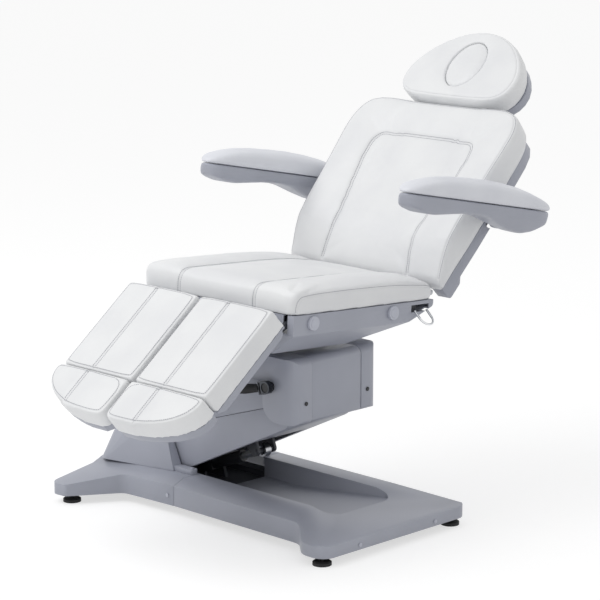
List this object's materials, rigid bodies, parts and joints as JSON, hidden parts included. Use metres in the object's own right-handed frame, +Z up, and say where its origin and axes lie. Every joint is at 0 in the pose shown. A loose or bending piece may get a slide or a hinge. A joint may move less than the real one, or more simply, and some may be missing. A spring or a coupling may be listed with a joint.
{
  "type": "podiatry chair",
  "caption": "Electric podiatry chair: padded seat, reclining back with armrests and headrest, split leg rests, swivel head on a parallel lift arm over a wide flat base.",
  "frame": {"origin": "middle of the object's box on the floor", "axes": "+X along the base towards its tray end; +Y towards the headrest; +Z up. The upper chair faces -Y at rest, a quarter turn from the base, as in the picture"},
  "size_m": [1.0098, 1.582, 1.3086],
  "materials": {
    "grey_plastic": "moulded, satin",
    "white_leather": "white coated upholstery over foam, semi-matt",
    "frame_paint": "satin powder coat",
    "black_paint": "satin black paint",
    "bright_steel": "bright zinc",
    "chrome": "polished chrome",
    "black_rubber": "matt",
    "black_plastic": "textured"
  },
  "bodies": {
    "base": {"base_frame": "frame_paint", "front_cover": "grey_plastic", "rear_cover": "grey_plastic", "column_posts": "frame_paint", "column_cover": "grey_plastic", "base_pivot_pins": "bright_steel", "levelling_feet": "black_rubber", "base_screws": "bright_steel", "mains_inlet": "black_plastic"},
    "lift_arm": {"lift_arm": "frame_paint", "arm_lower_cover": "grey_plastic", "arm_upper_cover": "grey_plastic"},
    "parallel_link": {"parallel_link": "black_paint"},
    "lift_motor": {"lift_motor": "black_plastic"},
    "lift_rod": {"lift_rod": "chrome"},
    "head_box": {"head_frame": "frame_paint", "head_pivot_pins": "bright_steel", "head_cover_near": "grey_plastic", "head_cover_far": "grey_plastic", "head_end_panel": "grey_plastic", "head_screws": "bright_steel", "bearing_race": "bright_steel"},
    "lock_lever": {"lock_hub": "black_plastic", "lock_ring": "chrome", "lock_grip": "black_plastic"},
    "turntable": {"turntable": "frame_paint", "tilt_shaft": "bright_steel"},
    "seat": {"seat_frame": "frame_paint", "seat_shell": "grey_plastic", "seat_cushion": "white_leather", "side_caps": "grey_plastic", "handset_hook": "chrome", "seat_hinge_pins": "bright_steel", "control_box": "black_plastic", "back_motor": "black_plastic"},
    "tilt_motor": {"tilt_motor": "black_plastic"},
    "tilt_rod": {"tilt_rod": "chrome"},
    "back_rod": {"back_rod": "chrome"},
    "back": {"back_frame": "frame_paint", "back_shell": "grey_plastic", "back_cushion": "white_leather"},
    "armrest_near": {"armrest_shell_near": "grey_plastic", "armrest_pad_near": "white_leather"},
    "armrest_far": {"armrest_shell_far": "grey_plastic", "armrest_pad_far": "white_leather"},
    "headrest_carriage": {"headrest_posts": "chrome"},
    "headrest": {"headrest_shell": "grey_plastic", "headrest_cushion": "white_leather"},
    "face_plug": {"face_plug": "white_leather"},
    "leg_near": {"leg_shell_near": "grey_plastic", "leg_cushion_near": "white_leather"},
    "leg_far": {"leg_shell_far": "grey_plastic", "leg_cushion_far": "white_leather"},
    "foot_near": {"foot_rails_near": "chrome", "foot_shell_near": "grey_plastic", "foot_cushion_near": "white_leather"},
    "foot_far": {"foot_rails_far": "chrome", "foot_shell_far": "grey_plastic", "foot_cushion_far": "white_leather"}
  },
  "joints": [
    {"name": "lift", "type": "hinge", "parent": "base", "child": "lift_arm", "pos_m": [-0.33, -0.11598, 0.2], "axis": [0, -1, 0], "range_deg": [-15.8, 14]},
    {"name": "head_level", "type": "hinge", "parent": "lift_arm", "child": "head_box", "pos_m": [0.12888, -0.11598, 0.39857], "axis": [0, -1, 0], "range_deg": [-15, 16.8]},
    {"name": "link_swing", "type": "hinge", "parent": "base", "child": "parallel_link", "pos_m": [-0.31, -0.11598, 0.13], "axis": [0, -1, 0], "range_deg": [-16.8, 15]},
    {"name": "lift_motor_swing", "type": "hinge", "parent": "base", "child": "lift_motor", "pos_m": [-0.3, -0.11598, 0.062], "axis": [0, -1, 0], "range_deg": [-15.69, 14.02]},
    {"name": "lift_rod_slide", "type": "slide", "parent": "lift_motor", "child": "lift_rod", "axis": [0.9321, 0, 0.3622], "range_m": [-0.04088, 0.03645]},
    {"name": "lever_turn", "type": "hinge", "parent": "head_box", "child": "lock_lever", "pos_m": [0.18588, -0.11598, 0.42257], "axis": [0, 1, 0], "range_deg": [0, 25]},
    {"name": "swivel", "type": "hinge", "parent": "head_box", "child": "turntable", "pos_m": [0.06438, -0.11598, 0.50457], "axis": [0, 0, 1], "range_deg": [-30, 210]},
    {"name": "seat_tilt", "type": "hinge", "parent": "turntable", "child": "seat", "pos_m": [0.06438, -0.02098, 0.58497], "axis": [-1, 0, 0], "range_deg": [-3.4, 8.6]},
    {"name": "tilt_motor_swing", "type": "hinge", "parent": "seat", "child": "tilt_motor", "pos_m": [0.06438, -0.32998, 0.59597], "axis": [1, 0, 0], "range_deg": [-7.64, 3.32]},
    {"name": "tilt_rod_slide", "type": "slide", "parent": "tilt_motor", "child": "tilt_rod", "axis": [0, 0.9648, -0.2631], "range_m": [-0.00593, 0.01346]},
    {"name": "recline", "type": "hinge", "parent": "seat", "child": "back", "pos_m": [0.06438, 0.20802, 0.63197], "axis": [1, 0, 0], "range_deg": [-45, 25]},
    {"name": "back_rod_slide", "type": "slide", "parent": "seat", "child": "back_rod", "axis": [0, 1, 0], "range_m": [-0.05631, 0.03173]},
    {"name": "armrest_near_fold", "type": "hinge", "parent": "back", "child": "armrest_near", "pos_m": [0.36438, 0.42533, 0.8126], "axis": [1, 0, 0], "range_deg": [-60, 0]},
    {"name": "armrest_far_fold", "type": "hinge", "parent": "back", "child": "armrest_far", "pos_m": [-0.23562, 0.42533, 0.8126], "axis": [1, 0, 0], "range_deg": [-60, 0]},
    {"name": "headrest_extend", "type": "slide", "parent": "back", "child": "headrest_carriage", "axis": [0, 0.7071, 0.7071], "range_m": [0, 0.1]},
    {"name": "headrest_tilt", "type": "hinge", "parent": "headrest_carriage", "child": "headrest", "pos_m": [0.06438, 0.66255, 1.08316], "axis": [1, 0, 0], "range_deg": [-35, 0]},
    {"name": "plug_lift", "type": "slide", "parent": "headrest", "child": "face_plug", "axis": [0, -0.7071, 0.7071], "range_m": [0, 0.13]},
    {"name": "leg_near_swing", "type": "hinge", "parent": "seat", "child": "leg_near", "pos_m": [0.20438, -0.40398, 0.62097], "axis": [1, 0, 0], "range_deg": [-38, 32]},
    {"name": "leg_far_swing", "type": "hinge", "parent": "seat", "child": "leg_far", "pos_m": [-0.07562, -0.40398, 0.62097], "axis": [1, 0, 0], "range_deg": [-38, 32]},
    {"name": "foot_near_extend", "type": "slide", "parent": "leg_near", "child": "foot_near", "axis": [0, -0.7859, -0.6184], "range_m": [0, 0.1]},
    {"name": "foot_far_extend", "type": "slide", "parent": "leg_far", "child": "foot_far", "axis": [0, -0.7859, -0.6184], "range_m": [0, 0.1]}
  ],
  "couplings": [
    {"joint": "head_level", "follows": "lift", "ratio": -1},
    {"joint": "link_swing", "follows": "lift", "ratio": 1},
    {"joint": "lift_motor_swing", "follows": "lift", "ratio": 0.93},
    {"joint": "lift_rod_slide", "follows": "lift", "m_per_rad": 0.141},
    {"joint": "tilt_motor_swing", "follows": "seat_tilt", "ratio": -0.83},
    {"joint": "tilt_rod_slide", "follows": "seat_tilt", "m_per_rad": 0.083},
    {"joint": "back_rod_slide", "follows": "recline", "m_per_rad": 0.070422}
  ]
}
